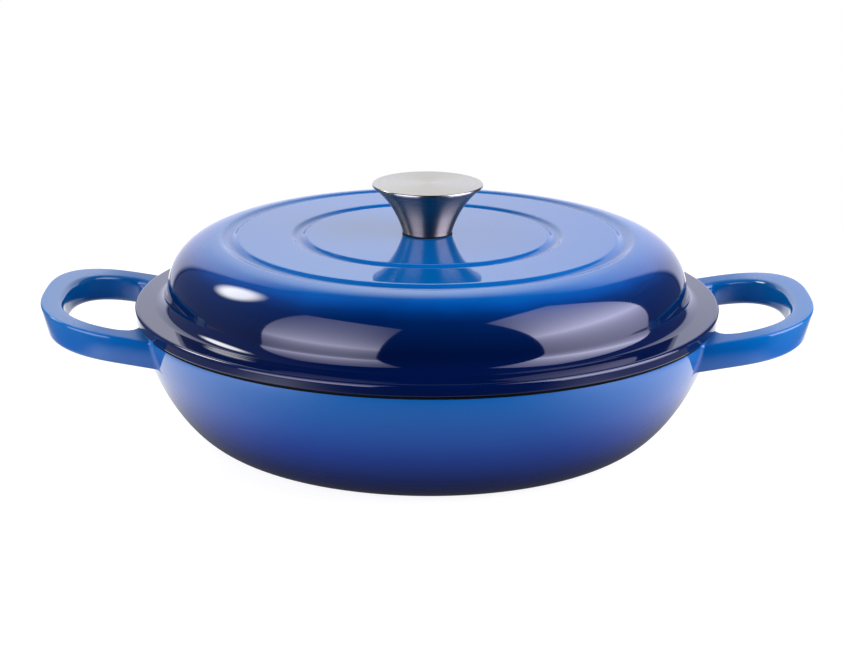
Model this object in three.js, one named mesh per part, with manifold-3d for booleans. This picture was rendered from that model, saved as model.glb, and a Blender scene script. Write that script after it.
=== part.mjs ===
// Shallow enamelled cast iron braiser: a pot with two cast loop handles, a domed lid and a steel knob.
// Millimetres, +Z up, +X through the handles, origin in the middle of the face that the pot stands on.
import * as THREE from 'three';
import { mergeVertices } from 'three/addons/utils/BufferGeometryUtils.js';
import Module from 'manifold-3d';

const wasm = await Module();
wasm.setup();

// Pot
const potHeight = 63.4;
const rimRadius = 148.6;
const rimBand = 0.6; // upright part of the wall below the rim
const baseRadius = 108;
const baseAngle = 12; // degrees, wall against the table where it leaves the base
const baseSweep = 23; // how far the wall keeps that angle
const wallSweep = 14; // how far the wall stays upright below the band
const potWall = 4;
const floorThickness = 5;
const footWidth = 10;
const footHeight = 1;

// Handles
const handleReach = 50; // past the rim, along the top of the handle
const handleHalfWidth = 60.8;
const handleSquareness = 2.7; // exponent of the rounded end, 2 is an ellipse
const handleHeight = 13.8;
const handleTilt = 9.5; // degrees, rising outwards
const handleTipWidth = 11.4;
const handleLegWidth = 14;
const handleLean = 6.4; // how much further the top of the tip reaches than its underside
const gapLean = 3.5; // the same at the inner face of the tip
const handleClearance = 0.3; // top of a leg below the lid's flange
const handleEdge = 1.8; // rounding of the long edges
const rootFlare = 2; // widening of a leg's outer side as it enters the bowl
const rootFillet = 3; // the same on its inner side
const rootStart = 2; // where a leg starts to widen, out from the bowl

// Lid
const lidOverhang = 1.4;
const flangeEdge = 5.6; // height of the flange's outer edge
const flangeRise = 0.4; // from the outer edge in to the cove
const flangeRound = 2.2; // rounding of its upper edge
const flangeBevel = 0.5; // bevel of its lower edge
const flangeWidth = 16.4; // from the dome's wall to the outer edge
const coveRadius = 4; // fillet between the dome's wall and the flange
const domeHeight = 33.6; // crown above the cove's foot
const shoulderReach = 33.2; // from the flat of the crown to the cove
const shoulderSquareness = 2.25; // exponent of the shoulder, 2 is an ellipse
const crownFall = 0.6; // from the knob's seat to the shoulder
const lidWall = 4;
const innerGrooveRadius = 66;
const innerGrooveWidth = 7.6;
const outerGrooveOffset = 0.9; // groove's middle, out from the edge of the crown
const outerGrooveWidth = 8;
const grooveDepth = 1.3;
const lipClearance = 1.2; // lid's locating lip inside the pot's mouth
const lipWidth = 4;
const lipHeight = 4;
const lipDraft = 0.8;
const padRadius = 16; // flat seat for the knob, and the pad below it
const padHeight = 0.6;

// Knob and its fastening
const knobTopRadius = 28.3;
const knobBaseRadius = 12.7;
const knobHeight = 25.7; // gasket's top to the middle of the cap
const flareOut = 4.4; // flare's turning point, from the foot of the wall
const flareUp = 14.5;
const knobWall = 1.2;
const knobFoot = 0.6; // bevel at the foot of the shell
const capThickness = 1.6;
const capBevel = 0.4;
const capCrown = 0.2;
const shellSetback = 0.5; // shell's top edge inside the cap's edge
const gasketThickness = 0.7;
const gasketOverhang = 0.2;
const threadRadius = 3; // M6
const threadClearance = 0.3;
const holeClearance = 0.5;
const bossRadius = 6.5;
const bossEndWall = 1.5;
const boreSpare = 1;
const screwLength = 20;
const headRadius = 6;
const headHeight = 3.8;
const headRound = 1.1;
const slotWidth = 1.6;
const slotLength = 6.6;
const slotDepth = 1.9;
const flatWasherRadius = 8;
const flatWasherThickness = 1.2;
const lockWasherRadius = 5.6;
const lockWasherThickness = 1.6;
const lockWasherGap = 0.9;

const castingSides = 56;
const knobSides = 36;
const fasteningSides = 24;

const point = (radius, height) => new THREE.Vector2(radius, height);

// Heights of the stack, from the table up
const seatZ = potHeight;
const flangeRadius = rimRadius + lidOverhang;
const domeRadius = flangeRadius - flangeWidth;
const crownRadius = domeRadius - shoulderReach;
const coveZ = seatZ + flangeEdge + flangeRise;
const wallZ = coveZ + coveRadius;
const crownZ = coveZ + domeHeight;
const undersideZ = crownZ - lidWall - padHeight;
const knobZ = crownZ + gasketThickness;
const shellFloorZ = knobZ + knobWall;
const capZ = knobZ + knobHeight - capThickness;
const headZ = undersideZ - flatWasherThickness - lockWasherThickness;
const screwEndZ = headZ + screwLength;
const shaftRadius = threadRadius - threadClearance;
const holeRadius = threadRadius + holeClearance;

// Closed solid from a geometry: shared vertices merged, collapsed triangles dropped
function toSolid(geometry) {
  const bare = geometry.clone();
  bare.deleteAttribute('normal');
  bare.deleteAttribute('uv');
  const merged = mergeVertices(bare, 1e-4);
  const corners = merged.getIndex().array;
  const triVerts = [];
  for (let i = 0; i < corners.length; i += 3) {
    const [a, b, c] = corners.slice(i, i + 3);
    if (a !== b && b !== c && c !== a) triVerts.push(a, b, c);
  }
  const vertProperties = new Float32Array(merged.getAttribute('position').array);
  const mesh = new wasm.Mesh({ numProp: 3, vertProperties, triVerts: new Uint32Array(triVerts) });
  return new wasm.Manifold(mesh);
}

function toMesh(name, solid, look) {
  const { vertProperties, triVerts } = solid.getMesh();
  const geometry = new THREE.BufferGeometry();
  geometry.setAttribute('position', new THREE.BufferAttribute(vertProperties, 3));
  geometry.setIndex(new THREE.BufferAttribute(triVerts, 1));
  geometry.computeVertexNormals();
  const mesh = new THREE.Mesh(geometry, new THREE.MeshStandardMaterial(look));
  mesh.name = name;
  return mesh;
}

// Solid of revolution about Z. The profile runs with the solid on its left
function turned(profile, sides) {
  return toSolid(new THREE.LatheGeometry(profile, sides).rotateX(Math.PI / 2));
}

const ring = (inner, outer, low, high, sides) => turned([
  point(inner, low), point(outer, low), point(outer, high), point(inner, high), point(inner, low),
], sides);

function arc(centre, radiusX, radiusZ, from, to, steps) {
  const points = [];
  for (let i = 0; i <= steps; i += 1) {
    const angle = THREE.MathUtils.degToRad(THREE.MathUtils.lerp(from, to, i / steps));
    points.push(point(centre.x + radiusX * Math.cos(angle), centre.y + radiusZ * Math.sin(angle)));
  }
  return points;
}

// A quarter of a squared-off ellipse about the origin, from its end on Y to its end on X
function squaredQuarter(reachX, reachY, squareness, steps) {
  const points = [];
  for (let i = 0; i <= steps; i += 1) {
    const angle = (Math.PI / 2) * (1 - i / steps);
    const power = 2 / squareness;
    points.push(point(reachX * Math.cos(angle) ** power, reachY * Math.sin(angle) ** power));
  }
  return points;
}

// Pot

function bowlCurve() {
  const foot = point(baseRadius, 0);
  const top = point(rimRadius, potHeight - rimBand);
  const lean = THREE.MathUtils.degToRad(baseAngle);
  const afterFoot = foot.clone().add(point(Math.cos(lean), Math.sin(lean)).multiplyScalar(baseSweep));
  const belowTop = top.clone().sub(point(0, wallSweep));
  return new THREE.CubicBezierCurve(foot, afterFoot, belowTop, top);
}

const wallSteps = 9;

function bowlOutside() {
  const standing = baseRadius - footWidth;
  return turned([
    point(0, footHeight),
    point(standing - footHeight, footHeight),
    point(standing, 0),
    ...bowlCurve().getPoints(wallSteps),
    point(rimRadius, potHeight),
    point(0, potHeight),
  ], castingSides);
}

// The room inside the bowl, one wall in from the outside and open at the top
function bowlInside() {
  const curve = bowlCurve();
  const inner = [];
  for (let i = 0; i <= wallSteps; i += 1) {
    const along = curve.getTangent(i / wallSteps);
    const inward = point(-along.y, along.x).multiplyScalar(potWall);
    inner.push(curve.getPoint(i / wallSteps).add(inward));
  }
  const above = potHeight + potWall;
  const raised = inner.filter((p) => p.y > floorThickness);
  return turned([
    point(0, floorThickness),
    point(inner[0].x, floorThickness),
    ...raised,
    point(rimRadius - potWall, above),
    point(0, above),
  ], castingSides);
}

const mirrored = (points) => points.map((p) => point(p.x, -p.y)).reverse();

// Where a circle about the pot's axis lies at a given side offset, measured out from the rim
const circleX = (radius, y) => Math.sqrt(radius ** 2 - y ** 2) - rimRadius;

const innerHalfWidth = handleHalfWidth - handleLegWidth;
const innerRoot = innerHalfWidth - rootFillet;
const innerReach = handleReach - handleTipWidth;
const handleSlope = THREE.MathUtils.degToRad(handleTilt);

// Top of the handle at the rim's radius. Where the legs pass under the flange they stay clear of it
const handleTopZ = seatZ - handleClearance - circleX(flangeRadius, innerRoot) * Math.tan(handleSlope);

// Both faces of the tip lean in towards its underside, the outer one more than the inner one
function lean(geometry) {
  const corners = geometry.getAttribute('position');
  const middle = point((handleReach + innerReach) / 2, (handleHalfWidth + innerHalfWidth) / 2);
  for (let i = 0; i < corners.count; i += 1) {
    const x = Math.max(0, corners.getX(i));
    const across = Math.abs(corners.getY(i)) / middle.y;
    const outside = (x / middle.x) ** handleSquareness + across ** handleSquareness > 1;
    const shortening = outside ? handleLean / handleReach : gapLean / innerReach;
    const depth = -corners.getZ(i) / handleHeight;
    corners.setX(i, corners.getX(i) - x * shortening * depth);
  }
}

// The loop in plan, with x measured out from the rim. Its legs end inside the wall of the bowl
function handle() {
  const outerRoot = handleHalfWidth + rootFlare;
  const midWall = rimRadius - potWall / 2;
  const buried = circleX(rimRadius - 2 * potWall, outerRoot);
  const outerSide = [
    point(buried, outerRoot),
    point(circleX(midWall, outerRoot), outerRoot),
    point(circleX(rimRadius, handleHalfWidth) + rootStart, handleHalfWidth),
    ...squaredQuarter(handleReach, handleHalfWidth, handleSquareness, 10),
  ];
  const innerSide = [
    point(buried, innerRoot),
    point(circleX(midWall, innerRoot), innerRoot),
    point(circleX(rimRadius, innerHalfWidth) + rootStart, innerHalfWidth),
    ...squaredQuarter(innerReach, innerHalfWidth, handleSquareness, 9),
  ];
  const outline = [...outerSide, ...mirrored(outerSide).slice(1)];
  const gap = [...innerSide, ...mirrored(innerSide).slice(1)].reverse();
  const geometry = new THREE.ExtrudeGeometry(new THREE.Shape([...outline, ...gap]), {
    depth: handleHeight - 2 * handleEdge,
    bevelThickness: handleEdge,
    bevelSize: handleEdge,
    bevelOffset: -handleEdge,
    bevelSegments: 2,
  });
  geometry.translate(0, 0, handleEdge - handleHeight);
  lean(geometry);
  geometry.rotateY(-handleSlope);
  geometry.translate(rimRadius, 0, handleTopZ);
  return geometry;
}

function potCasting() {
  const right = toSolid(handle());
  const left = toSolid(handle().rotateZ(Math.PI));
  return bowlOutside().add(right).add(left).subtract(bowlInside());
}

// Lid

const shoulderCentre = point(crownRadius, wallZ);
const coveCentre = point(domeRadius + coveRadius, wallZ);

// From the edge of the crown out and down to the cove, at a depth below the outside
function shoulder(depth, steps) {
  const rise = crownHeight(crownRadius) - depth - wallZ;
  const quarter = squaredQuarter(shoulderReach - depth, rise, shoulderSquareness, steps);
  return quarter.map((p) => p.add(shoulderCentre));
}

// The crown falls away slowly outside the knob's flat seat
function crownHeight(radius) {
  const share = Math.max(0, radius - padRadius) / (crownRadius - padRadius);
  return crownZ - crownFall * share ** 2;
}

// A shallow groove with a rounded bed
function groove(radius, width) {
  const points = [];
  const steps = 4;
  for (let i = 0; i <= steps; i += 1) {
    const across = (2 * i) / steps - 1;
    const spot = radius + (across * width) / 2;
    points.push(point(spot, crownHeight(spot) - grooveDepth * (1 - across ** 2)));
  }
  return points;
}

function lidOutside() {
  const grooveEnd = crownRadius + outerGrooveOffset + outerGrooveWidth / 2;
  const past = shoulder(0, 10).filter((p) => p.x > grooveEnd);
  const edgeZ = seatZ + flangeEdge;
  const edge = point(flangeRadius - flangeRound, edgeZ - flangeRound);
  return [
    point(holeRadius, crownZ),
    point(padRadius, crownZ),
    ...groove(innerGrooveRadius, innerGrooveWidth),
    ...groove(crownRadius + outerGrooveOffset, outerGrooveWidth),
    ...past.slice(0, -1),
    ...arc(coveCentre, coveRadius, coveRadius, 180, 270, 3),
    ...arc(edge, flangeRound, flangeRound, 90, 0, 2),
    point(flangeRadius, seatZ + flangeBevel),
    point(flangeRadius - flangeBevel, seatZ),
  ];
}

function lidInside() {
  const lipOuter = rimRadius - potWall - lipClearance;
  const lipInner = lipOuter - lipWidth;
  const innerCove = coveRadius + lidWall;
  return [
    point(lipOuter, seatZ),
    point(lipOuter - lipDraft, seatZ - lipHeight),
    point(lipInner + lipDraft, seatZ - lipHeight),
    ...arc(coveCentre, innerCove, innerCove, 270, 180, 3),
    ...shoulder(lidWall, 6).reverse().slice(1),
    point(padRadius + padHeight, crownZ - lidWall),
    point(padRadius, undersideZ),
    point(holeRadius, undersideZ),
    point(holeRadius, crownZ),
  ];
}

const lidCasting = () => turned([...lidOutside(), ...lidInside()].reverse(), castingSides);

// Knob

function flare() {
  const foot = point(knobBaseRadius, knobZ + knobFoot);
  const top = point(knobTopRadius - shellSetback, capZ);
  return new THREE.QuadraticBezierCurve(foot, foot.clone().add(point(flareOut, flareUp)), top);
}

function knobShell() {
  const curve = flare();
  const steps = 6;
  const outside = curve.getPoints(steps);
  const inside = [];
  for (let i = 0; i <= steps; i += 1) {
    const along = curve.getTangent(i / steps);
    inside.push(curve.getPoint(i / steps).add(point(-along.y, along.x).multiplyScalar(knobWall)));
  }
  const raised = inside.filter((p) => p.y > shellFloorZ && p.y < capZ);
  return turned([
    point(holeRadius, knobZ),
    point(knobBaseRadius - knobFoot, knobZ),
    ...outside,
    point(outside.at(-1).x - knobWall, capZ),
    ...raised.reverse(),
    point(knobBaseRadius - knobWall, shellFloorZ),
    point(holeRadius, shellFloorZ),
    point(holeRadius, knobZ),
  ], knobSides);
}

function knobCap() {
  const top = capZ + capThickness;
  return turned([
    point(0, capZ),
    point(knobTopRadius - capBevel, capZ),
    point(knobTopRadius, capZ + capBevel),
    point(knobTopRadius, top - 2 * capBevel),
    point(knobTopRadius - capBevel, top - capBevel),
    point(knobTopRadius - 3 * capBevel, top - capCrown),
    point(knobTopRadius / 2, top - capCrown / 4),
    point(0, top),
  ], knobSides);
}

function knobBoss() {
  const boreEnd = screwEndZ + boreSpare;
  return turned([
    point(threadRadius, shellFloorZ),
    point(bossRadius, shellFloorZ),
    point(bossRadius, boreEnd + bossEndWall),
    point(0, boreEnd + bossEndWall),
    point(0, boreEnd),
    point(threadRadius, boreEnd),
    point(threadRadius, shellFloorZ),
  ], fasteningSides);
}

// Fastening

function knobScrew() {
  const foot = headZ - headHeight;
  const screw = turned([
    point(0, foot),
    ...arc(point(headRadius - headRound, foot + headRound), headRound, headRound, -90, 0, 3),
    point(headRadius, headZ),
    point(shaftRadius, headZ),
    point(shaftRadius, screwEndZ - threadClearance),
    point(shaftRadius - threadClearance, screwEndZ),
    point(0, screwEndZ),
  ], fasteningSides);
  const slot = new THREE.BoxGeometry(slotLength, slotWidth, 2 * slotDepth).translate(0, 0, foot);
  const crossed = slot.clone().rotateZ(Math.PI / 2);
  return screw.subtract(toSolid(slot).add(toSolid(crossed)));
}

function lockWasher() {
  const whole = ring(holeRadius, lockWasherRadius, headZ, headZ + lockWasherThickness, fasteningSides);
  const split = new THREE.BoxGeometry(lockWasherRadius, lockWasherGap, 3 * lockWasherThickness);
  split.translate(lockWasherRadius, 0, headZ + lockWasherThickness / 2);
  return whole.subtract(toSolid(split));
}

function flatWasher() {
  const low = headZ + lockWasherThickness;
  return ring(holeRadius, flatWasherRadius, low, low + flatWasherThickness, fasteningSides);
}

const gasketRadius = knobBaseRadius - knobFoot + gasketOverhang;
const gasket = () => ring(holeRadius, gasketRadius, crownZ, knobZ, knobSides);

const enamel = { color: 0x1f4f9c, roughness: 0.08, metalness: 0 };
const darkEnamel = { color: 0x14397f, roughness: 0.06, metalness: 0 };
const brushedSteel = { color: 0xb9b9bd, roughness: 0.3, metalness: 1 };
const plainSteel = { color: 0x9a9a9e, roughness: 0.35, metalness: 1 };
const blackRubber = { color: 0x0b0b0c, roughness: 0.7, metalness: 0 };

const knob = new THREE.Group();
knob.add(
  toMesh('knob_shell', knobShell(), brushedSteel),
  toMesh('knob_cap', knobCap(), brushedSteel),
  toMesh('knob_boss', knobBoss(), plainSteel),
);

const fastening = new THREE.Group();
fastening.add(
  toMesh('knob_screw', knobScrew(), plainSteel),
  toMesh('lock_washer', lockWasher(), plainSteel),
  toMesh('flat_washer', flatWasher(), plainSteel),
);

const lid = new THREE.Group();
lid.add(
  toMesh('lid', lidCasting(), darkEnamel),
  toMesh('knob_gasket', gasket(), blackRubber),
  knob,
  fastening,
);

const braiser = new THREE.Group();
braiser.add(toMesh('pot', potCasting(), enamel), lid);

export default braiser;
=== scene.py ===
import math

import bmesh
import bpy
from mathutils import Matrix, Vector


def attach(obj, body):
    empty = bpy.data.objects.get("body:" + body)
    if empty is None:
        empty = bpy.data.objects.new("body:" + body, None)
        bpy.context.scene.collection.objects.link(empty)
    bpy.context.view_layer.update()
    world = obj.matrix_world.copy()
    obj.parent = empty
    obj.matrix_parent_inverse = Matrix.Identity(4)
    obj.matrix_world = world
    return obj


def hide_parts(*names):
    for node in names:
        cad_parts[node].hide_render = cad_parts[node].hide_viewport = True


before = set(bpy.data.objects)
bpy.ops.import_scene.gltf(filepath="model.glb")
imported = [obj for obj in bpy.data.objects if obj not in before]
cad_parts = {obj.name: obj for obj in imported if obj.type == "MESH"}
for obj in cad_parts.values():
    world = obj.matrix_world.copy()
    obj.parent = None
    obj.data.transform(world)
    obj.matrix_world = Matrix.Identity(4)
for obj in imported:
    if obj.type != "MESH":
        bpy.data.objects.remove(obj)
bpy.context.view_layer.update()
print("frame loaded with", len(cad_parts), "nodes")

scene = bpy.context.scene
scene.view_settings.view_transform = "Standard"
mm = 0.001  # sizes below are in millimetres, as in the CAD


# One socket of a shader tree. Sums on values add Math nodes, node() adds any other kind.
class Wire:
    def __init__(self, tree, socket=None):
        self.tree = tree
        self.socket = socket

    def node(self, kind, settings=None, sockets=None, output=0):
        made = self.tree.nodes.new(kind)
        for name, value in (settings or {}).items():
            if name == "stops":
                placeStops(made.color_ramp, value)
            else:
                setattr(made, name, value)
        for name, value in (sockets or {}).items():
            if isinstance(value, Wire):
                self.tree.links.new(value.socket, made.inputs[name])
            else:
                made.inputs[name].default_value = value
        return Wire(self.tree, made.outputs[output])

    def maths(self, operation, first, second):
        return self.node("ShaderNodeMath", {"operation": operation}, {0: first, 1: second})

    def __add__(self, other):
        return self.maths("ADD", self, other)

    def __radd__(self, other):
        return self.maths("ADD", other, self)

    def __sub__(self, other):
        return self.maths("SUBTRACT", self, other)

    def __rsub__(self, other):
        return self.maths("SUBTRACT", other, self)

    def __mul__(self, other):
        return self.maths("MULTIPLY", self, other)

    def __rmul__(self, other):
        return self.maths("MULTIPLY", other, self)

    def __truediv__(self, other):
        return self.maths("DIVIDE", self, other)

    def __pow__(self, other):
        return self.maths("POWER", self, other)

    def __abs__(self):
        return self.maths("ABSOLUTE", self, 0)


def placeStops(ramp, stops):
    while len(ramp.elements) < len(stops):
        ramp.elements.new(1.0)
    for element, (place, colour) in zip(ramp.elements, stops):
        element.position = place
        element.color = (*colour, 1.0)


def mixColours(share, first, second):
    return share.node("ShaderNodeMix", {"data_type": "RGBA"}, {0: share, 6: first, 7: second}, output=2)


# A colour times a value
def scaled(colour, share):
    return share.node("ShaderNodeVectorMath", {"operation": "SCALE"}, {0: colour, "Scale": share})


# A ramp from 0 to 1 as the value goes from low to high
def rise(value, low, high, kind="SMOOTHSTEP"):
    return value.node("ShaderNodeMapRange", {"interpolation_type": kind},
                      {"Value": value, "From Min": low, "From Max": high})


# Noise from 0 to 1. The scale is per metre.
def grain(place, scale, detail, roughness=0.5):
    return place.node("ShaderNodeTexNoise", {},
                      {"Vector": place, "Scale": scale, "Detail": detail, "Roughness": roughness})


# Noise about zero
def sway(noise):
    return noise - 0.5


def bump(height, strength, distance):
    return height.node("ShaderNodeBump", {},
                       {"Height": height, "Strength": strength, "Distance": distance})


def makeFinish(name, fixed, wiring):
    material = bpy.data.materials.new(name)
    material.use_nodes = True
    tree = material.node_tree
    shader = tree.nodes["Principled BSDF"]
    for socket, value in fixed.items():
        shader.inputs[socket].default_value = value
    for socket, wire in wiring(Wire(tree)).items():
        tree.links.new(wire.socket, shader.inputs[socket])
    return material


def objectPlace(start):
    return start.node("ShaderNodeTexCoord", output="Object")


# 1 where the camera looks straight at the surface, and 1 where it is seen in a reflection
def rays(start):
    return [start.node("ShaderNodeLightPath", output="Is %s Ray" % kind) for kind in ("Camera", "Glossy")]


def split(place):
    return [place.node("ShaderNodeSeparateXYZ", {}, {0: place}, output=axis) for axis in "XYZ"]


# Distance from the pot's axis, in metres
def axisDistance(x, y):
    return (x * x + y * y) ** 0.5


# Outline tools: a point is (radius, height) in millimetres
same = 1e-4  # points closer than this are one point
edgeShare = 0.45  # most of an edge that the rounding of one corner takes


# Corners (radius, height, rounding) become arcs, with a holding point each side so that flats shade flat
def softened(corners, steps=6, hold=0.3):
    points = []
    for i, (radius, height, rounding) in enumerate(corners):
        here = Vector((radius, height))
        if rounding == 0 or i in (0, len(corners) - 1):
            points.append(here)
            continue
        before = Vector(corners[i - 1][:2]) - here
        after = Vector(corners[i + 1][:2]) - here
        half = before.angle(after) / 2
        cut = min(rounding / math.tan(half), edgeShare * before.length, edgeShare * after.length)
        before.normalize()
        after.normalize()
        start = here + before * cut
        end = here + after * cut
        reach = cut * math.tan(half)
        centre = here + (before + after).normalized() * (reach / math.sin(half))
        points.append(start + before * min(hold, cut))
        sweep = (start - centre).angle_signed(end - centre)
        for k in range(steps + 1):
            turn = Matrix.Rotation(-sweep * k / steps, 2)
            points.append(centre + turn @ (start - centre))
        points.append(end + after * min(hold, cut))
    return points


# Part of an ellipse, or of a squarer curve where the squareness is above 2
def arcPoints(centre, reach, rises, fromAngle, toAngle, steps, squareness=2):
    points = []
    for k in range(steps + 1):
        angle = math.radians(fromAngle + (toAngle - fromAngle) * k / steps)
        across, up = (math.copysign(abs(value) ** (2 / squareness), value)
                      for value in (math.cos(angle), math.sin(angle)))
        points.append(Vector((centre[0] + reach * across, centre[1] + rises * up)))
    return points


def bezierPoints(handles, steps):
    degree = len(handles) - 1
    points = []
    for k in range(steps + 1):
        t = k / steps
        point = Vector((0.0, 0.0))
        for i, handle in enumerate(handles):
            point += Vector(handle) * (math.comb(degree, i) * t ** i * (1 - t) ** (degree - i))
        points.append(point)
    return points


# The same curve moved sideways, to the left of its direction
def offsetPoints(points, distance):
    moved = []
    for i, point in enumerate(points):
        along = points[min(i + 1, len(points) - 1)] - points[max(i - 1, 0)]
        along.normalize()
        moved.append(point + Vector((-along.y, along.x)) * distance)
    return moved


# Turns runs of (finish number, points) about the axis. Neighbouring runs share their end points.
def spin(runs, sides, closed=False, swell=None):
    outline = []
    marks = []
    for mark, points in runs:
        for point in points:
            if outline and (point - outline[-1]).length < same:
                continue
            if outline:
                marks.append(mark)
            outline.append(point)
    if closed:
        if (outline[0] - outline[-1]).length < same:
            outline.pop()
        else:
            marks.append(runs[-1][0])
    verts = []
    rings = []
    for point in outline:
        first = len(verts)
        if point.x < same:
            verts.append(Vector((0, 0, point.y)))
            rings.append([first] * sides)
            continue
        for k in range(sides):
            angle = 2 * math.pi * k / sides
            radius = swell(point.x, point.y, angle) if swell else point.x
            verts.append(Vector((radius * math.cos(angle), radius * math.sin(angle), point.y)))
        rings.append([first + k for k in range(sides)])
    faces = []
    faceMarks = []
    for i, mark in enumerate(marks):
        low = rings[i]
        high = rings[(i + 1) % len(rings)]
        for k in range(sides):
            n = (k + 1) % sides
            corners = list(dict.fromkeys((low[k], low[n], high[n], high[k])))
            if len(corners) > 2:
                faces.append(corners)
                faceMarks.append(mark)
    return verts, faces, faceMarks


# A tube through rings that all have the same number of points, closed with a face at each end
def loft(rings):
    verts = [point for ring in rings for point in ring]
    count = len(rings[0])
    faces = [list(range(count)), list(range(len(verts) - count, len(verts)))]
    for i in range(len(rings) - 1):
        for k in range(count):
            n = (k + 1) % count
            faces.append([i * count + k, i * count + n, (i + 1) * count + n, (i + 1) * count + k])
    return verts, faces, [0] * len(faces)


def makePiece(name, shells, finishes, body, node):
    verts = []
    faces = []
    marks = []
    for shellVerts, shellFaces, shellMarks in shells:
        first = len(verts)
        verts += [point * mm for point in shellVerts]
        faces += [[first + k for k in face] for face in shellFaces]
        marks += shellMarks
    mesh = bpy.data.meshes.new(name)
    mesh.from_pydata(verts, [], faces)
    mesh.polygons.foreach_set("material_index", marks)
    work = bmesh.new()
    work.from_mesh(mesh)
    bmesh.ops.recalc_face_normals(work, faces=work.faces)
    for face in work.faces:
        face.smooth = True
    work.to_mesh(mesh)
    work.free()
    for material in finishes:
        mesh.materials.append(material)
    piece = bpy.data.objects.new(name, mesh)
    scene.collection.objects.link(piece)
    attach(piece, body)
    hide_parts(node)
    print("made", name, "with", len(faces), "faces")
    return piece


# Camera, from the photograph's perspective fitted to the lid's and the pot's circles
view = {
    "lens": 98.1,
    "sensor": 36,
    "distance": 1.1944,
    "elevation": 16.41,
    "target": (-0.0025, 0, 0.0522),
    "roll": 0.3,
}


def placeCamera():
    camera = bpy.data.objects.new("camera", bpy.data.cameras.new("camera"))
    camera.data.lens = view["lens"]
    camera.data.sensor_width = view["sensor"]
    tilt = math.radians(view["elevation"])
    target = Vector(view["target"])
    camera.location = Vector((0, -math.cos(tilt), math.sin(tilt))) * view["distance"]
    camera.location.z += target.z
    look = (target - camera.location).to_track_quat("-Z", "Y").to_matrix()
    turned = look @ Matrix.Rotation(math.radians(view["roll"]), 3, "Z")
    camera.rotation_euler = turned.to_euler()
    scene.collection.objects.link(camera)
    scene.camera = camera


placeCamera()
print("camera placed")


# Enamel: blue glass over iron, fading from cobalt to navy lower down: partly a sprayed fade, partly painted
# shade where less light falls
enamel = {
    "ior": 1.55,
    "gloss": 0.04,
    "glossChange": 0.03,
    "peelScale": 95,
    "peelStrength": 0.25,
    "peelHeight": 0.00003,
    "cloudScale": 22,
    "cloudDepth": 0.10,
    "fleckScale": 1400,
    "fleckDepth": 0.10,
    "fadeDrift": 0.004,  # how far the fade wanders up and down, in metres
}
# Colours by height above the table, darker lower down: a sprayed fade and painted shade together
potFadeAndShade = [
    (0, (0.0012, 0.010, 0.074)),
    (14, (0.0012, 0.019, 0.130)),
    (28, (0.0012, 0.044, 0.255)),
    (42, (0.0012, 0.084, 0.333)),
    (52, (0.0012, 0.109, 0.345)),
    (63, (0.0012, 0.119, 0.346)),
    (70, (0.0012, 0.140, 0.348)),
]
lidFadeAndShade = [
    (69, (0.0002, 0.0060, 0.042)),
    (79, (0.0002, 0.0055, 0.034)),
    (87, (0.0002, 0.0090, 0.049)),
    (92, (0.0002, 0.0135, 0.068)),
    (95, (0.0002, 0.0260, 0.118)),
    (98, (0.0002, 0.0605, 0.239)),
    (101.5, (0.0002, 0.1200, 0.342)),
]


# The legs of the handles have a duller top, by distance from the middle and by how far a face looks up
legTop = {"from": 160, "to": 190, "upFrom": 0.5, "upTo": 0.9, "roughness": 0.5}


# fade: colours by height, a sprayed fade with painted shade in it
def blueEnamel(name, fade, dull=None):
    low = fade[0][0]
    high = fade[-1][0]
    stops = [((height - low) / (high - low), colour) for height, colour in fade]

    def wiring(start):
        place = objectPlace(start)
        cloud = grain(place, enamel["cloudScale"], detail=3)
        fleck = grain(place, enamel["fleckScale"], detail=2)
        peel = grain(place, enamel["peelScale"], detail=1)
        x, y, z = split(place)
        height = z + sway(cloud) * enamel["fadeDrift"]
        share = rise(height, low * mm, high * mm, "LINEAR")
        colour = share.node("ShaderNodeValToRGB", {"stops": stops}, {0: share})
        shade = 1 + sway(cloud) * enamel["cloudDepth"] + sway(fleck) * enamel["fleckDepth"]
        rough = enamel["gloss"] + cloud * enamel["glossChange"]
        if dull:
            up = split(start.node("ShaderNodeNewGeometry", output="Normal"))[2]
            near = 1 - rise(abs(x), dull["from"] * mm, dull["to"] * mm)
            leg = rise(up, dull["upFrom"], dull["upTo"]) * near
            rough = rough + leg * (dull["roughness"] - rough)
        return {
            "Base Color": scaled(colour, shade),
            "Roughness": rough,
            "Normal": bump(peel, enamel["peelStrength"], enamel["peelHeight"]),
        }
    return makeFinish(name, {"IOR": enamel["ior"]}, wiring)


potBlue = blueEnamel("pot_blue_enamel", potFadeAndShade, legTop)
lidBlue = blueEnamel("lid_blue_enamel", lidFadeAndShade)


# Matt black with fine grey flecks
def mattBlack(name, look):
    def wiring(start):
        fleck = grain(objectPlace(start), look["fleckScale"], detail=3)
        share = rise(fleck, look["fleckFrom"], look["fleckTo"])
        return {
            "Base Color": mixColours(share, look["colour"], look["fleck"]),
            "Roughness": look["roughness"] + sway(fleck) * look["roughChange"],
            "Normal": bump(fleck, look["bumpStrength"], look["bumpHeight"]),
        }
    return makeFinish(name, {"Specular IOR Level": look["specular"]}, wiring)


rimBlack = mattBlack("rim_matt_black", {
    "colour": (0.003, 0.003, 0.003, 1),
    "fleck": (0.009, 0.009, 0.010, 1),
    "fleckScale": 1800,
    "fleckFrom": 0.45,
    "fleckTo": 0.75,
    "roughness": 0.55,
    "roughChange": 0.2,
    "bumpStrength": 0.5,
    "bumpHeight": 0.00004,
    "specular": 0.04,
})

insideLook = {
    "colour": (0.70, 0.63, 0.50, 1),
    "fleck": (0.50, 0.42, 0.31, 1),
    "fleckScale": 700,
    "fleckRough": 0.65,
    "fleckFrom": 0.62,
    "fleckTo": 0.74,
    "cloudScale": 30,
    "cloudDepth": 0.08,
    "gloss": 0.10,
    "glossChange": 0.06,
    "peelScale": 120,
    "coat": 0.5,
    "coatRough": 0.05,
}


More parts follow.
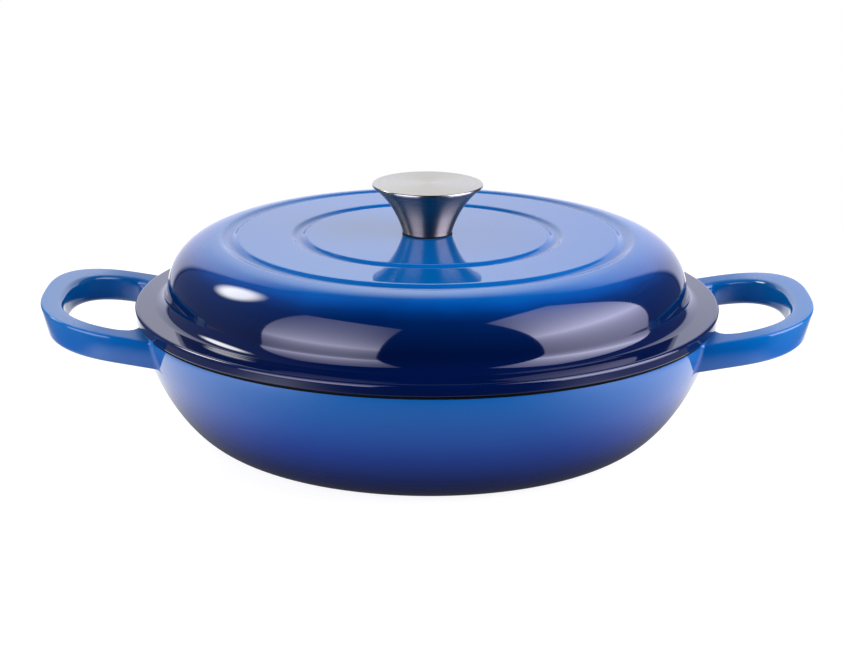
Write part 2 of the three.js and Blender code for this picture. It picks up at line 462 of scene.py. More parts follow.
def insideWiring(start):
    place = objectPlace(start)
    cloud = grain(place, insideLook["cloudScale"], detail=3)
    fleck = grain(place, insideLook["fleckScale"], detail=3, roughness=insideLook["fleckRough"])
    peel = grain(place, insideLook["peelScale"], detail=1)
    share = rise(fleck, insideLook["fleckFrom"], insideLook["fleckTo"])
    colour = mixColours(share, insideLook["colour"], insideLook["fleck"])
    return {
        "Base Color": scaled(colour, 1 + sway(cloud) * insideLook["cloudDepth"]),
        "Roughness": insideLook["gloss"] + cloud * insideLook["glossChange"],
        "Normal": bump(peel, enamel["peelStrength"], enamel["peelHeight"]),
    }


insideCoat = {"Coat Weight": insideLook["coat"], "Coat Roughness": insideLook["coatRough"]}
insideEnamel = makeFinish("inside_sand_enamel", insideCoat, insideWiring)

# Stainless steel with fine lines round the axis, made by spinning and turning
turning = {
    "slant": 0.7,  # how much the height counts for a line's place
    "drift": 0.1,
    "lineRough": 0.6,
    "lineChange": 0.12,  # of the roughness, by the lines
    "smearScale": 60,
    "smearChange": 0.05,  # of the roughness, by smears
    "dark": 0.82,  # painted shade: how dark the bed of a line is
    "darkFrom": 0.25,
    "darkTo": 0.7,
    "bumpStrength": 0.3,
    "rotation": 0.25,
}


def turnedSteel(name, look):
    def wiring(start):
        place = objectPlace(start)
        x, y, z = split(place)
        along = axisDistance(x, y) + z * turning["slant"]
        track = along.node("ShaderNodeCombineXYZ", {}, {0: along, 1: z * turning["drift"]})
        line = grain(track, look["lines"], detail=3, roughness=turning["lineRough"])
        smear = grain(place, turning["smearScale"], detail=2)
        rough = look["roughness"] + sway(line) * turning["lineChange"] + sway(smear) * turning["smearChange"]
        if "polish" in look:
            polish = look["polish"]
            where = z if polish["along"] == "height" else axisDistance(x, y)
            done = rise(where, polish["from"] * mm, polish["to"] * mm)
            rough = rough + done * (polish["roughness"] - rough)
        # The beds of the lines are painted darker, as painted shade in these fine recesses
        dark = [value * turning["dark"] for value in look["colour"]]
        share = rise(line, turning["darkFrom"], turning["darkTo"])
        return {
            "Base Color": mixColours(share, (*dark, 1), (*look["colour"], 1)),
            "Roughness": rough,
            "Normal": bump(line, turning["bumpStrength"], look["depth"]),
        }
    fixed = {
        "Metallic": 1.0,
        "Anisotropic": look["anisotropy"],
        "Anisotropic Rotation": turning["rotation"],
    }
    return makeFinish(name, fixed, wiring)


shellSteel = turnedSteel("knob_satin_steel", {
    "colour": (0.32, 0.285, 0.255),
    "roughness": 0.50,
    "lines": 2600,
    "depth": 0.0000015,
    "anisotropy": 1.0,
    "polish": {"along": "height", "from": 103, "to": 130, "roughness": 0.24},
})
capSteel = turnedSteel("cap_turned_steel", {
    "colour": (0.405, 0.395, 0.333),
    "roughness": 0.30,
    "lines": 2600,
    "depth": 0.000004,
    "anisotropy": 0.6,
    "polish": {"along": "radius", "from": 27.2, "to": 27.6, "roughness": 0.25},
})
fasteningSteel = turnedSteel("fastening_steel", {
    "colour": (0.50, 0.50, 0.51),
    "roughness": 0.33,
    "lines": 3200,
    "depth": 0.000005,
    "anisotropy": 0.0,
})

gasketBlack = mattBlack("gasket_black_rubber", {
    "colour": (0.004, 0.004, 0.004, 1),
    "fleck": (0.014, 0.014, 0.015, 1),
    "fleckScale": 2200,
    "fleckFrom": 0.5,
    "fleckTo": 0.8,
    "roughness": 0.6,
    "roughChange": 0.2,
    "bumpStrength": 0.4,
    "bumpHeight": 0.00003,
    "specular": 0.2,
})
print("finishes made")


# Pot: bowl and both handles, one casting
bowl = {
    "height": 63.4,
    "rimRadius": 148.6,
    "band": 0.6,  # upright part below the rim
    "rimBlack": 1.6,  # height of the black rim; its lower part is also painted shade under the lid's flange
    "baseRadius": 108,
    "baseAngle": 12,
    "baseSweep": 23,
    "wallSweep": 14,
    "wall": 4,
    "floor": 5,
    "footWidth": 10,
    "footHeight": 1,
    "footRound": 1,
    "footBend": 2,  # where the foot starts to bend into the wall
    "bedBend": 3,  # the bend between wall and floor inside,
    "bedReach": 12,  # and where it has run out
    "floorRing": 50,
    "rimRound": 1.1,
    "rimClear": 0.1,  # nearer than this to the rim or the floor, the wall has no points
    "floorClear": 0.3,
    "sides": 224,
}


def bowlWall(steps=48):
    lean = math.radians(bowl["baseAngle"])
    foot = Vector((bowl["baseRadius"], 0))
    top = Vector((bowl["rimRadius"], bowl["height"] - bowl["band"]))
    afterFoot = foot + Vector((math.cos(lean), math.sin(lean))) * bowl["baseSweep"]
    return bezierPoints([foot, afterFoot, top - Vector((0, bowl["wallSweep"])), top], steps)


wallPoints = bowlWall()


# Radius of the bowl's outside at a height
def wallRadius(height):
    for low, high in zip(wallPoints, wallPoints[1:]):
        if low.y <= height <= high.y:
            return low.x + (high.x - low.x) * (height - low.y) / (high.y - low.y)
    return bowl["rimRadius"]


def bowlShell():
    standing = bowl["baseRadius"] - bowl["footWidth"]
    bendStart = bowl["baseRadius"] - bowl["footBend"]
    under = softened([
        (0, bowl["footHeight"], 0),
        (standing - 2 * bowl["footHeight"], bowl["footHeight"], bowl["footRound"]),
        (standing, 0, bowl["footRound"]),
        (bendStart, 0, 0),
    ])
    bend = bezierPoints([(bendStart, 0), (bowl["baseRadius"], 0), tuple(wallPoints[2])], steps=6)
    black = bowl["height"] - bowl["rimBlack"]
    highest = black - bowl["rimClear"]
    outside = under + bend + [p for p in wallPoints[3:] if p.y < highest]
    outside.append(Vector((wallRadius(black), black)))
    inner = bowl["rimRadius"] - bowl["wall"]
    rim = softened([
        (wallRadius(black), black, 0),
        (bowl["rimRadius"], bowl["height"], bowl["rimRound"]),
        (inner, bowl["height"], bowl["rimRound"]),
        (inner, black, 0),
    ])
    lowest = bowl["floor"] + bowl["floorClear"]
    raised = [p for p in offsetPoints(wallPoints, bowl["wall"]) if lowest < p.y < highest]
    raised.reverse()
    last = raised[-1]
    bed = bezierPoints([
        tuple(last),
        (last.x - bowl["bedBend"], bowl["floor"]),
        (last.x - bowl["bedReach"], bowl["floor"]),
    ], steps=8)
    floor = [Vector((bowl["floorRing"], bowl["floor"])), Vector((0, bowl["floor"]))]
    inside = [Vector((inner, black))] + raised + bed + floor
    return spin([(0, outside), (1, rim), (2, inside)], bowl["sides"])


loop = {
    "reach": 50,
    "halfWidth": 60.8,
    "squareness": 2.7,
    "height": 13.8,
    "tilt": 9.5,
    "tipWidth": 11.4,
    "legWidth": 14,
    "lean": 6.4,  # how much further the top of the tip reaches than its underside
    "gapLean": 3.5,  # the same at the inner face
    "top": 63.96,  # at the rim's radius
    "edge": 1.5,
    "innerEdge": 3.0,  # rounder towards the fingers
    "rootSide": 1.8,  # fillets into the bowl: outside,
    "rootGap": 16.0,  # towards the fingers
    "rootRise": 1.3,  # and up and down
    "rootLength": 5.0,
    "sunk": 0.6,
}


# Section of a handle: (across, up) points round a rectangle with rounded edges
def loopSection(halfWidth, halfHeight, edge, innerEdge, steps=7):
    section = []
    for turn, side, up in ((0, 1, 1), (90, -1, 1), (180, -1, -1), (270, 1, -1)):
        rounding = edge if side > 0 else innerEdge
        middle = (side * (halfWidth - rounding), up * (halfHeight - rounding))
        for k in range(steps + 1):
            angle = math.radians(turn + 90 * k / steps)
            section.append((middle[0] + rounding * math.cos(angle), middle[1] + rounding * math.sin(angle)))
    return section


def loopPlace(x, y, z):
    tilt = math.radians(loop["tilt"])
    return Vector((
        bowl["rimRadius"] + x * math.cos(tilt) - z * math.sin(tilt),
        y,
        loop["top"] + x * math.sin(tilt) + z * math.cos(tilt),
    ))


# The point of a leg that stands a distance off the bowl's wall, found in a few tries
def rootPlace(y, z, distance, x=-10.0, tries=4):
    for step in range(tries):
        point = loopPlace(x, y, z)
        wallX = math.sqrt(wallRadius(point.z) ** 2 - y ** 2)
        x += wallX + distance - point.x
    return loopPlace(x, y, z)


# How far a fillet reaches sideways at a distance from the wall
def filletReach(distance, radius):
    if distance >= radius:
        return 0
    return radius - math.sqrt(radius ** 2 - (radius - max(distance, 0)) ** 2)


def rootRings(side):
    middle = loop["halfWidth"] - loop["legWidth"] / 2
    steps = 12
    distances = [-loop["sunk"]]
    distances += [loop["rootLength"] * (1 - math.cos(k / steps * math.pi / 2)) for k in range(steps + 1)]
    rings = []
    for distance in distances:
        outward = filletReach(distance, loop["rootSide"])
        inward = filletReach(distance, loop["rootGap"])
        upward = filletReach(distance, loop["rootRise"])
        section = loopSection((loop["legWidth"] + outward + inward) / 2, loop["height"] / 2 + upward,
                              loop["edge"], loop["innerEdge"])
        shift = middle + (outward - inward) / 2
        rings.append([rootPlace(side * (shift + across), up - loop["height"] / 2, distance)
                      for across, up in section])
    return rings


def loopRings():
    power = 2 / loop["squareness"]
    steps = 88
    rings = []
    for k in range(steps + 1):
        angle = math.pi * (k / steps - 0.5)
        across = abs(math.cos(angle)) ** power
        along = math.copysign(abs(math.sin(angle)) ** power, angle)
        outer = Vector((loop["reach"] * across, loop["halfWidth"] * along))
        innerReach = loop["reach"] - loop["tipWidth"]
        inner = Vector((innerReach * across, (loop["halfWidth"] - loop["legWidth"]) * along))
        fromWall = bowl["rimRadius"] + inner.x - math.sqrt(bowl["rimRadius"] ** 2 - inner.y ** 2)
        inner.y -= math.copysign(filletReach(fromWall, loop["rootGap"]), along)
        middle = (outer + inner) / 2
        way = (outer - inner).normalized()
        width = (outer - inner).length
        ring = []
        for side, up in loopSection(width / 2, loop["height"] / 2, loop["edge"], loop["innerEdge"]):
            point = middle + way * side
            depth = 0.5 - up / loop["height"]
            outward = 0.5 + side / width
            short = outward * loop["lean"] / loop["reach"] + (1 - outward) * loop["gapLean"] / innerReach
            ring.append(loopPlace(point.x * (1 - short * depth), point.y, up - loop["height"] / 2))
        rings.append(ring)
    return rings


def handleShell(turn):
    rings = rootRings(-1) + loopRings() + rootRings(1)[::-1]
    verts, faces, marks = loft(rings)
    around = Matrix.Rotation(turn, 3, "Z")
    return [around @ point for point in verts], faces, marks


makePiece("pot_casting", [bowlShell(), handleShell(0), handleShell(math.pi)],
          [potBlue, rimBlack, insideEnamel], "pot", "pot")


# Lid
lid = {
    "seat": 63.4,
    "flangeRadius": 150,
    "flangeEdge": 5.6,
    "flangeRise": 0.4,
    "flangeRound": 1.7,
    "flangeBevel": 0.6,
    "flangeWidth": 16.4,
    "cove": 4,  # height of the shoulder's foot above the flange
    "coveRound": 7.0,  # the cove runs on up into the shoulder
    "coveEnd": 267,  # degrees, where 270 is level
    "domeHeight": 33.6,
    "shoulder": 33.2,
    "squareness": 2.25,  # of the shoulder
    "crownFall": 0.6,
    "wall": 4,
    "padRadius": 16,
    "padHeight": 0.6,
    "padSlope": 1.5,
    "padRound": 0.8,
    "crownRings": (28, 40, 50),
    "holeRing": 10,
    "betweenGrooves": 79.05,
    "underRing": 60,
    "underFall": 0.1,
    "innerGroove": (65.8, 7.0, 1.7),  # radius, width and depth
    "outerGroove": (101.5, 8.2, 1.75),
    "grooveEdge": (0.16, 0.38),  # softness of a groove's inner and outer edge
    "grooveReach": 1.5,  # where a groove has run out, in half widths
    "grooveFade": 0.5,  # the last part, in which it runs out
    "grooveSteps": 24,
    "lipOuter": 143.4,
    "lipWidth": 4,
    "lipHeight": 4,
    "lipDraft": 0.8,
    "lipRound": 1.0,
    "hole": 3.5,
    "sides": 256,
}
domeRadius = lid["flangeRadius"] - lid["flangeWidth"]
crownRadius = domeRadius - lid["shoulder"]
coveZ = lid["seat"] + lid["flangeEdge"] + lid["flangeRise"]
wallZ = coveZ + lid["cove"]
crownZ = coveZ + lid["domeHeight"]
shoulderRise = crownZ - lid["crownFall"] - wallZ


# Height of the lid's top at a radius, without its grooves
def topHeight(radius):
    if radius > crownRadius:
        out = (radius - crownRadius) / lid["shoulder"]
        return wallZ + shoulderRise * (1 - out ** lid["squareness"]) ** (1 / lid["squareness"])
    share = max(0, radius - lid["padRadius"]) / (crownRadius - lid["padRadius"])
    return crownZ - lid["crownFall"] * share ** 2


# Depth of a groove at a radius: a rounded bed with a crisp inner and a soft outer edge
def grooveDrop(radius, groove):
    middle, width, depth = groove
    across = (radius - middle) / (width / 2)
    outward = min(1, max(0, (across + 1) / 2))
    crisp, soft = lid["grooveEdge"]
    blur = crisp + (soft - crisp) * outward ** 2
    inside = 1 - across ** 2
    left = min(1, max(0, (lid["grooveReach"] - abs(across)) / lid["grooveFade"]))
    return depth * (inside + math.hypot(inside, blur)) / 2 * left ** 2 * (3 - 2 * left)


# The radii at which a groove has points
def grooveRadii(groove):
    middle, width, depth = groove
    reach = lid["grooveReach"] * width / 2
    steps = lid["grooveSteps"]
    return [middle + reach * k / steps for k in range(-steps, steps + 1)]


# Where the shoulder runs into the cove: height above the shoulder's foot, and how far it leans there
def coveStart(tries=12):
    lean = 0
    for step in range(tries):
        height = lid["coveRound"] * (1 - math.sin(lean)) - lid["cove"]
        steep = (height / shoulderRise) ** (lid["squareness"] - 1)
        lean = math.atan(lid["shoulder"] / shoulderRise * steep)
    return height, lean


def lidTop():
    grooves = (lid["innerGroove"], lid["outerGroove"])
    radii = [lid["hole"], lid["holeRing"], lid["padRadius"], *lid["crownRings"]]
    radii += grooveRadii(lid["innerGroove"]) + [lid["betweenGrooves"]] + grooveRadii(lid["outerGroove"])
    top = [Vector((r, topHeight(r) - sum(grooveDrop(r, groove) for groove in grooves))) for r in radii]
    out = (radii[-1] - crownRadius) / lid["shoulder"]
    start = math.degrees(math.acos(out ** (lid["squareness"] / 2)))
    height, lean = coveStart()
    end = math.degrees(math.asin((height / shoulderRise) ** (lid["squareness"] / 2)))
    shoulder = arcPoints((crownRadius, wallZ), lid["shoulder"], shoulderRise, start, end, steps=48,
                         squareness=lid["squareness"])
    middle = shoulder[-1] + Vector((math.cos(lean), math.sin(lean))) * lid["coveRound"]
    coveFrom = 180 + math.degrees(lean)
    cove = arcPoints(middle, lid["coveRound"], lid["coveRound"], coveFrom, lid["coveEnd"], steps=20)
    edgeZ = lid["seat"] + lid["flangeEdge"]
    edge = softened([
        (*cove[-1], 0),
        (lid["flangeRadius"], edgeZ, lid["flangeRound"]),
        (lid["flangeRadius"], lid["seat"], lid["flangeBevel"]),
        (lid["lipOuter"], lid["seat"], 0),
    ], steps=10)
    return top + shoulder + cove + edge


def lidUnder():
    lipInner = lid["lipOuter"] - lid["lipWidth"]
    lipZ = lid["seat"] - lid["lipHeight"]
    innerCove = lid["cove"] + lid["wall"]
    lip = softened([
        (lid["lipOuter"], lid["seat"], 0),
        (lid["lipOuter"] - lid["lipDraft"], lipZ, lid["lipRound"]),
        (lipInner + lid["lipDraft"], lipZ, lid["lipRound"]),
        (domeRadius + lid["cove"], wallZ - innerCove, 0),
    ])
    cove = arcPoints((domeRadius + lid["cove"], wallZ), innerCove, innerCove, 270, 180, steps=14)
    dome = arcPoints((crownRadius, wallZ), lid["shoulder"] - lid["wall"], shoulderRise - lid["wall"],
                     0, 90, steps=36, squareness=lid["squareness"])
    ceiling = crownZ - lid["wall"]
    underside = ceiling - lid["padHeight"]
    pad = softened([
        (*dome[-1], 0),
        (lid["underRing"], ceiling - lid["underFall"], 0),
        (lid["padRadius"] + lid["padSlope"], ceiling, lid["padRound"]),
        (lid["padRadius"], underside, lid["padRound"]),
        (lid["hole"], underside, 0),
        (lid["hole"], crownZ, 0),
    ])
    return lip + cove + dome[1:] + pad


makePiece("lid_casting", [spin([(0, lidTop()), (1, lidUnder())], lid["sides"], closed=True)],
          [lidBlue, insideEnamel], "lid", "lid")


# Knob
knob = {
    "topRadius": 28.3,
    "baseRadius": 12.7,
    "foot": 103.7,
    "footRound": 0.6,
    "height": 25.7,
    "flareOut": 4.4,
    "flareUp": 14.5,
    "wall": 1.2,
    "capThickness": 1.6,
    "capLowRound": 0.35,
    "capTopRound": 0.7,
    "capCrown": 0.2,
    "capProfile": ((0.75, 0.55), (0.5, 0.25), (0.2, 0.04)),  # shares of the radius and of the crown
    "setback": 0.5,
    "hole": 3.5,
    "sides": 144,
}
capZ = knob["foot"] + knob["height"] - knob["capThickness"]


def knobShell():
    start = Vector((knob["baseRadius"], knob["foot"] + knob["footRound"]))
    end = Vector((knob["topRadius"] - knob["setback"], capZ))
    flare = bezierPoints([start, start + Vector((knob["flareOut"], knob["flareUp"])), end], steps=40)
    raised = [p for p in offsetPoints(flare, knob["wall"]) if knob["foot"] + knob["wall"] < p.y < capZ]
    foot = softened([
        (knob["hole"], knob["foot"], 0),
        (knob["baseRadius"], knob["foot"], knob["footRound"]),
        (*flare[1], 0),
    ])
    lip = [Vector((end.x - knob["wall"], capZ))]
    floorZ = knob["foot"] + knob["wall"]
    floor = [Vector((knob["baseRadius"] - knob["wall"], floorZ)), Vector((knob["hole"], floorZ))]
    outline = foot + flare[2:] + lip + raised[::-1] + floor + [Vector((knob["hole"], knob["foot"]))]
    return spin([(0, outline)], knob["sides"], closed=True)


def knobCap():
    top = capZ + knob["capThickness"]
    edge = knob["topRadius"]
    outline = softened([
        (0, capZ, 0),
        (edge, capZ, knob["capLowRound"]),
        (edge, top - knob["capCrown"], knob["capTopRound"]),
        *((edge * out, top - knob["capCrown"] * fall, 0) for out, fall in knob["capProfile"]),
        (0, top, 0),
    ], steps=8, hold=0.15)
    return spin([(0, outline)], knob["sides"])


makePiece("knob_spun_shell", [knobShell()], [shellSteel], "knob", "knob_shell")
makePiece("knob_turned_cap", [knobCap()], [capSteel], "knob", "knob_cap")

# Black rubber ring under the knob, a little wider than the knob's foot, so that its edge is also painted
# shade at the foot
gasket = {"inner": 3.5, "outer": 12.9, "low": 103.0, "high": 103.7, "round": 0.25}


def ringShell(sizes, sides):
    outline = softened([
        (sizes["inner"], (sizes["low"] + sizes["high"]) / 2, 0),
        (sizes["inner"], sizes["low"], sizes["round"]),
        (sizes["outer"], sizes["low"], sizes["round"]),
        (sizes["outer"], sizes["high"], sizes["round"]),
        (sizes["inner"], sizes["high"], sizes["round"]),
        (sizes["inner"], (sizes["low"] + sizes["high"]) / 2, 0),
    ], steps=5, hold=0.1)
    return spin([(0, outline)], sides, closed=True)


makePiece("knob_gasket_ring", [ringShell(gasket, 96)], [gasketBlack], "lid", "knob_gasket")

# Fastening below the lid: flat washer, split washer and a pan head screw with its thread
flatWasher = {"inner": 3.5, "outer": 8.0, "low": 97.2, "high": 98.4, "round": 0.25}
splitWasher = {
    "inner": 3.5,
    "outer": 5.6,
    "low": 95.6,
    "high": 97.2,
    "gap": 0.9,
    "skew": 0.12,
    "edge": 0.15,
}
screw = {
    "headRadius": 6,
    "headZ": 95.6,
    "headHeight": 3.8,
    "headRound": 1.5,
    "seatRound": 0.2,
    "end": 115.6,
    "endBevel": 0.5,
    "crest": 2.7,
    "root": 2.2,
    "pitch": 1.0,
    "bare": 1.0,  # length without thread below the head and at the end
    "flankGain": 1.5,  # the thread's ridges are cut off by these two: steepness
    "flankCut": 0.25,  # and width of the crest
    "threadSteps": 220,
    "slotWidth": 1.6,
    "slotLength": 6.6,
    "slotFlare": 0.2,  # at the cutter's outer end, which stands out by the lead
    "slotLead": 0.5,
    "slotTaper": 0.45,  # share of the length at the bottom
    "slotDepth": 1.9,
    "sides": 48,
}

makePiece("washer_flat", [ringShell(flatWasher, 64)], [fasteningSteel],
          "screw", "flat_washer")


# The two ends of the spring washer stand slightly apart in height, as they do when it is tightened
def splitRing():
    gap = splitWasher["gap"] / splitWasher["outer"]
    steps = 72
    rings = []
    for k in range(steps + 1):
        angle = gap / 2 + (2 * math.pi - gap) * k / steps
        lift = splitWasher["skew"] * k / steps
        low = splitWasher["low"] + lift
        high = splitWasher["high"] - splitWasher["skew"] + lift
        section = [(splitWasher["inner"], low), (splitWasher["outer"], low),
                   (splitWasher["outer"], high), (splitWasher["inner"], high)]
        rings.append([Vector((r * math.cos(angle), r * math.sin(angle), z)) for r, z in section])
    return loft(rings)


washer = makePiece("washer_split", [splitRing()], [fasteningSteel], "screw", "lock_washer")


def softenEdges(piece, width):
    modifier = piece.modifiers.new("edges", "BEVEL")
    modifier.width = width * mm
    modifier.segments = 2
    modifier.limit_method = "ANGLE"


softenEdges(washer, splitWasher["edge"])


def threadRadius(radius, height, angle):
    start = screw["headZ"] + screw["bare"]
    stop = screw["end"] - screw["bare"]
    if radius < screw["crest"] - same or not start < height < stop:
        return radius
    turn = height / screw["pitch"] - angle / (2 * math.pi)
    ridge = abs((turn % 1) * 2 - 1)
    depth = min(max(ridge * screw["flankGain"] - screw["flankCut"], 0), 1)
    fade = min((height - start) / screw["pitch"], (stop - height) / screw["pitch"], 1)
    return screw["crest"] - (screw["crest"] - screw["root"]) * depth * fade


def screwShell():
    foot = screw["headZ"] - screw["headHeight"]
    start = screw["headZ"] + screw["bare"]
    head = softened([
        (0, foot, 0),
        (screw["headRadius"], foot, screw["headRound"]),
        (screw["headRadius"], screw["headZ"], screw["seatRound"]),
        (screw["crest"], screw["headZ"], screw["seatRound"]),
        (screw["crest"], start, 0),
    ], hold=0.15)
    steps = screw["threadSteps"]
    run = screw["end"] - screw["endBevel"] - start
    shaft = [Vector((screw["crest"], start + run * k / steps)) for k in range(steps + 1)]
    point = [Vector((screw["root"], screw["end"])), Vector((0, screw["end"]))]
    return spin([(0, head + shaft + point)], screw["sides"], swell=threadRadius)


driven = makePiece("screw_pan_head", [screwShell()], [fasteningSteel],
                   "screw", "knob_screw")


# Cross recess for the driver, cut into the head from below
def cutRecess(piece):
    foot = screw["headZ"] - screw["headHeight"]
    cutterMesh = bpy.data.meshes.new("recess")
    work = bmesh.new()
    wide = screw["slotLength"] / 2
    narrow = screw["slotWidth"] / 2
    ends = ((-screw["slotLead"], wide + screw["slotFlare"]), (screw["slotDepth"], wide * screw["slotTaper"]))
    for turn in (0, math.pi / 2):
        around = Matrix.Rotation(turn, 3, "Z")
        rings = []
        for depth, length in ends:
            corners = [(-length, -narrow), (length, -narrow), (length, narrow), (-length, narrow)]
            rings.append([around @ Vector((x, y, foot + depth)) for x, y in corners])
        verts, faces, marks = loft(rings)
        made = [work.verts.new(point * mm) for point in verts]
        for face in faces:
            work.faces.new([made[k] for k in face])
    bmesh.ops.recalc_face_normals(work, faces=work.faces)
    work.to_mesh(cutterMesh)
    work.free()
    cutter = bpy.data.objects.new("recess", cutterMesh)
    scene.collection.objects.link(cutter)
    modifier = piece.modifiers.new("recess", "BOOLEAN")
    modifier.object = cutter
    modifier.solver = "EXACT"
    modifier.use_self = True
    bpy.context.view_layer.update()
    seen = piece.evaluated_get(bpy.context.evaluated_depsgraph_get())
    cut = bpy.data.meshes.new_from_object(seen)
    piece.modifiers.clear()
    piece.data = cut
    bpy.data.objects.remove(cutter)
    bpy.data.meshes.remove(cutterMesh)


cutRecess(driven)

# The boss inside the knob keeps its CAD shape
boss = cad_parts["knob_boss"]
boss.data.materials.clear()
boss.data.materials.append(fasteningSteel)
print("pieces made")


# A stage sheet with a finish of its own, unseen by the camera where it only gives light
def makeSheet(name, corners, finish, seen):
    mesh = bpy.data.meshes.new(name)
    mesh.from_pydata(corners, [], [list(range(len(corners)))])
    mesh.materials.append(finish)
    sheet = bpy.data.objects.new(name, mesh)
    sheet.visible_camera = seen
    scene.collection.objects.link(sheet)
    return sheet


white = (1, 1, 1)

# Table: a pale round top, white to the camera so that only the contact shadow shows. In reflections it shows
# painted light instead: paler at both sides of the object, dark in front, with a painted shadow close to the
# pot.
table = {
    "radius": 0.50,
    "drop": 0.0002,
    "sides": 128,
    "colour": 0.22,
    "grainScale": 12,
    "grainDepth": 0.04,
    "roughness": 0.7,
    "specular": 0.1,
    "lift": 0.9,
    "near": 0.42,
    "side": 1.75,
    "sideFrom": 0.07,
    "sideTo": 0.24,
    "outer": 0.85,  # share that is lost further out
    "outerFrom": 0.22,
    "outerTo": 0.31,
    "shade": 0.8,  # painted shadow of the pot: share that is lost close to it
    "shadeFrom": 0.11,
    "shadeTo": 0.175,
    "skew": 0.10,  # the dark front reaches further back on the right
    "darkFrom": 0.16,
    "darkTo": 0.32,
}


def tableWiring(start):
    place = objectPlace(start)
    x, y, z = split(place)
    seen, mirrored = rays(start)
    aside = abs(x)
    # Painted light for reflections: brighter at the sides, darker further out and in front, and a painted
    # shadow near the pot
    level = table["near"] + rise(aside, table["sideFrom"], table["sideTo"]) * (table["side"] - table["near"])
    level = level * (1 - rise(aside, table["outerFrom"], table["outerTo"]) * table["outer"])
    front = rise(x * table["skew"] - y, table["darkFrom"], table["darkTo"])
    shade = 1 - rise(axisDistance(x, y), table["shadeFrom"], table["shadeTo"])
    level = level * (1 - front) * (1 - shade * table["shade"])
    colour = table["colour"] * (1 + sway(grain(place, table["grainScale"], detail=2)) * table["grainDepth"])
    return {
        "Base Color": scaled(white, colour * (1 - mirrored)),
        "Emission Color": scaled(white, seen * table["lift"] + mirrored * level),
    }


# Corners of a round sheet
def roundSheet(radius, height, sides):
    angles = [2 * math.pi * k / sides for k in range(sides)]
    return [(radius * math.cos(angle), radius * math.sin(angle), height) for angle in angles]


def makeTable():
    fixed = {
        "Roughness": table["roughness"],
        "Specular IOR Level": table["specular"],
        "Emission Strength": 1.0,
    }
    edge = roundSheet(table["radius"], -table["drop"], table["sides"])
    makeSheet("table_top", edge, makeFinish("table_white", fixed, tableWiring), True)


makeTable()
onlyGlow = {"Base Color": (0, 0, 0, 1), "Specular IOR Level": 0.0, "Emission Strength": 1.0}

# Backdrop behind the object: even low down, fading out upwards and to the sides, with a brighter spot
backdrop = {
    "y": 1.0,
    "middle": 0.01,
    "core": 0.70,
    "reach": 0.85,
    "low": -0.1,
    "fadeFrom": 0.8,
    "high": 1.8,
    "level": 1.05,
    "spotX": -0.05,
    "spotZ": 1.0,
    "spotWidth": 0.45,
    "spotHeight": 0.80,
    "spotLevel": 1.25,
    "tint": (1, 1.02, 1.27),
    "spotTint": (1, 0.97, 0.65),
}


def backdropWiring(start):
    x, y, z = split(objectPlace(start))
    aside = abs(x - backdrop["middle"])
    even = 1 - rise(aside, backdrop["core"], backdrop["reach"])
    even = even * (1 - rise(z, backdrop["fadeFrom"], backdrop["high"]))
    across = (x - backdrop["spotX"]) * (1 / backdrop["spotWidth"])
    up = (z - backdrop["spotZ"]) * (1 / backdrop["spotHeight"])
    spot = 1 - rise((across * across + up * up) ** 0.5, 0, 1, "LINEAR")
    low = scaled(backdrop["tint"], even * backdrop["level"])
    high = scaled(backdrop["spotTint"], spot * backdrop["spotLevel"])
    return {"Emission Color": low.node("ShaderNodeVectorMath", {"operation": "ADD"}, {0: low, 1: high})}


# Corners of an upright sheet. Its edges, left and right, are given by their place at the foot and at the top.
def upright(left, right, low, high):
    return [(left[0], 0, low), (right[0], 0, low), (right[1], 0, high), (left[1], 0, high)]


def makeBackdrop():
    left = backdrop["middle"] - backdrop["reach"]
    right = backdrop["middle"] + backdrop["reach"]
    corners = upright((left, left), (right, right), backdrop["low"], backdrop["high"])
    sheet = makeSheet("backdrop_sheet", corners, makeFinish("backdrop_glow", onlyGlow, backdropWiring), False)
    sheet.location.y = backdrop["y"]


makeBackdrop()

# Softboxes in front on both sides, each with a bright ridge across it. The level is that of the ridge.
softboxes = {
    "left_softbox": {
        "azimuth": -47,
        "near": (-0.035, -0.131),
        "distance": 0.8,
        "left": (-0.445, -0.445),
        "right": (0.383, 0.566),
        "low": -0.2,
        "high": 1.2,
        "ridge": 0.14,
        "fadeUp": 0.27,
        "fadeDown": 0.10,
        "level": 6.5,
    },
    "right_softbox": {
        "azimuth": 78,
        "near": (0.06, -0.154),
        "distance": 0.65,
        "left": (-0.303, -0.565),
        "right": (0.46, 0.46),
        "low": -0.08,
        "high": 1.5,
        "ridge": 0.33,
        "fadeUp": 0.34,
        "fadeDown": 0.16,
        "level": 8.7,
    },
}
boxEdge = 0.45  # share of the brightness that is lost half a metre from the middle
boxTint = (1, 0.97, 1.30)


def softboxWiring(box):
    def wiring(start):
        x, y, z = split(objectPlace(start))
        aloft = z - box["ridge"]
        off = abs(aloft)
        fall = (off + aloft) * (0.5 / box["fadeUp"]) + (off - aloft) * (0.5 / box["fadeDown"])
        glow = (1 - x * x * (boxEdge * 4)) / (1 + fall)
        return {"Emission Color": scaled(boxTint, glow * box["level"])}
    return wiring


def makeSoftbox(name, box):
    turn = math.radians(box["azimuth"])
    corners = upright(box["left"], box["right"], box["low"], box["high"])
    sheet = makeSheet(name, corners, makeFinish(name + "_glow", onlyGlow, softboxWiring(box)), False)
    away = Vector((math.sin(turn), -math.cos(turn), 0)) * box["distance"]
    sheet.location = Vector((*box["near"], 0)) + away
    sheet.rotation_euler = (0, 0, turn)


for name, box in softboxes.items():
    makeSoftbox(name, box)

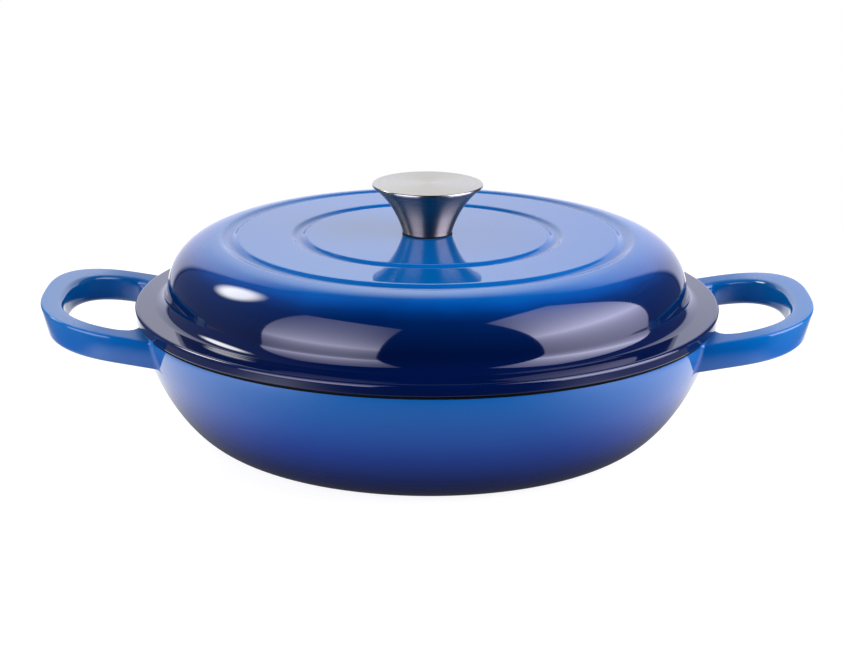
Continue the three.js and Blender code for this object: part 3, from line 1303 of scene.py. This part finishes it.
# Small round lamp at the back left, soft at its edge
spark = {
    "place": (-0.86, 0.36, 0.80),
    "facing": (-0.087, -0.09, 0.094),
    "core": 0.10,
    "reach": 0.27,
    "sides": 48,
    "level": 12,
}


def sparkWiring(start):
    x, y, z = split(objectPlace(start))
    glow = 1 - rise(axisDistance(x, y), spark["core"], spark["reach"])
    return {"Emission Color": scaled(white, glow * spark["level"])}


def makeSpark():
    edge = roundSheet(spark["reach"], 0, spark["sides"])
    sheet = makeSheet("spark_lamp", edge, makeFinish("spark_glow", onlyGlow, sparkWiring), False)
    sheet.location = spark["place"]
    look = Vector(spark["facing"]) - sheet.location
    sheet.rotation_euler = look.to_track_quat("-Z", "Y").to_euler()


makeSpark()

# World: white to the camera, a dim room otherwise, in reflections dark but for its sides
room = {
    "fill": 0.05,
    "leftFill": 0.8,
    "fillFrom": 0.2,
    "fillTo": 0.9,
    "left": 0.2,
    "right": 0.09,
    "aside": 0.8,  # the glow at the sides is furthest in this direction: aside
    "back": 0.6,  # and to the back
    "glowFrom": 0.1,
    "glowTo": 0.9,
    "dark": 0.002,
    "tint": (0.82, 0.94, 1.5, 1),
}


def makeWorld():
    world = bpy.data.worlds.new("studio")
    world.use_nodes = True
    scene.world = world
    tree = world.node_tree
    start = Wire(tree)
    seen, mirrored = rays(start)
    x, y, z = split(start.node("ShaderNodeTexCoord", output="Generated"))
    back = y * room["back"]
    aside = x * room["aside"]
    leftGlow = rise(back - aside, room["glowFrom"], room["glowTo"]) * room["left"]
    rightGlow = rise(back + aside, room["glowFrom"], room["glowTo"]) * room["right"]
    reflected = room["dark"] + leftGlow + rightGlow
    fill = room["fill"] + rise(0 - x, room["fillFrom"], room["fillTo"]) * room["leftFill"]
    level = seen + (1 - seen) * (mirrored * reflected + (1 - mirrored) * fill)
    background = tree.nodes["Background"]
    colour = mixColours(seen, room["tint"], (*white, 1))
    tree.links.new(colour.socket, background.inputs["Color"])
    tree.links.new(level.socket, background.inputs["Strength"])


makeWorld()
print("table, backdrop, lamps and world made")
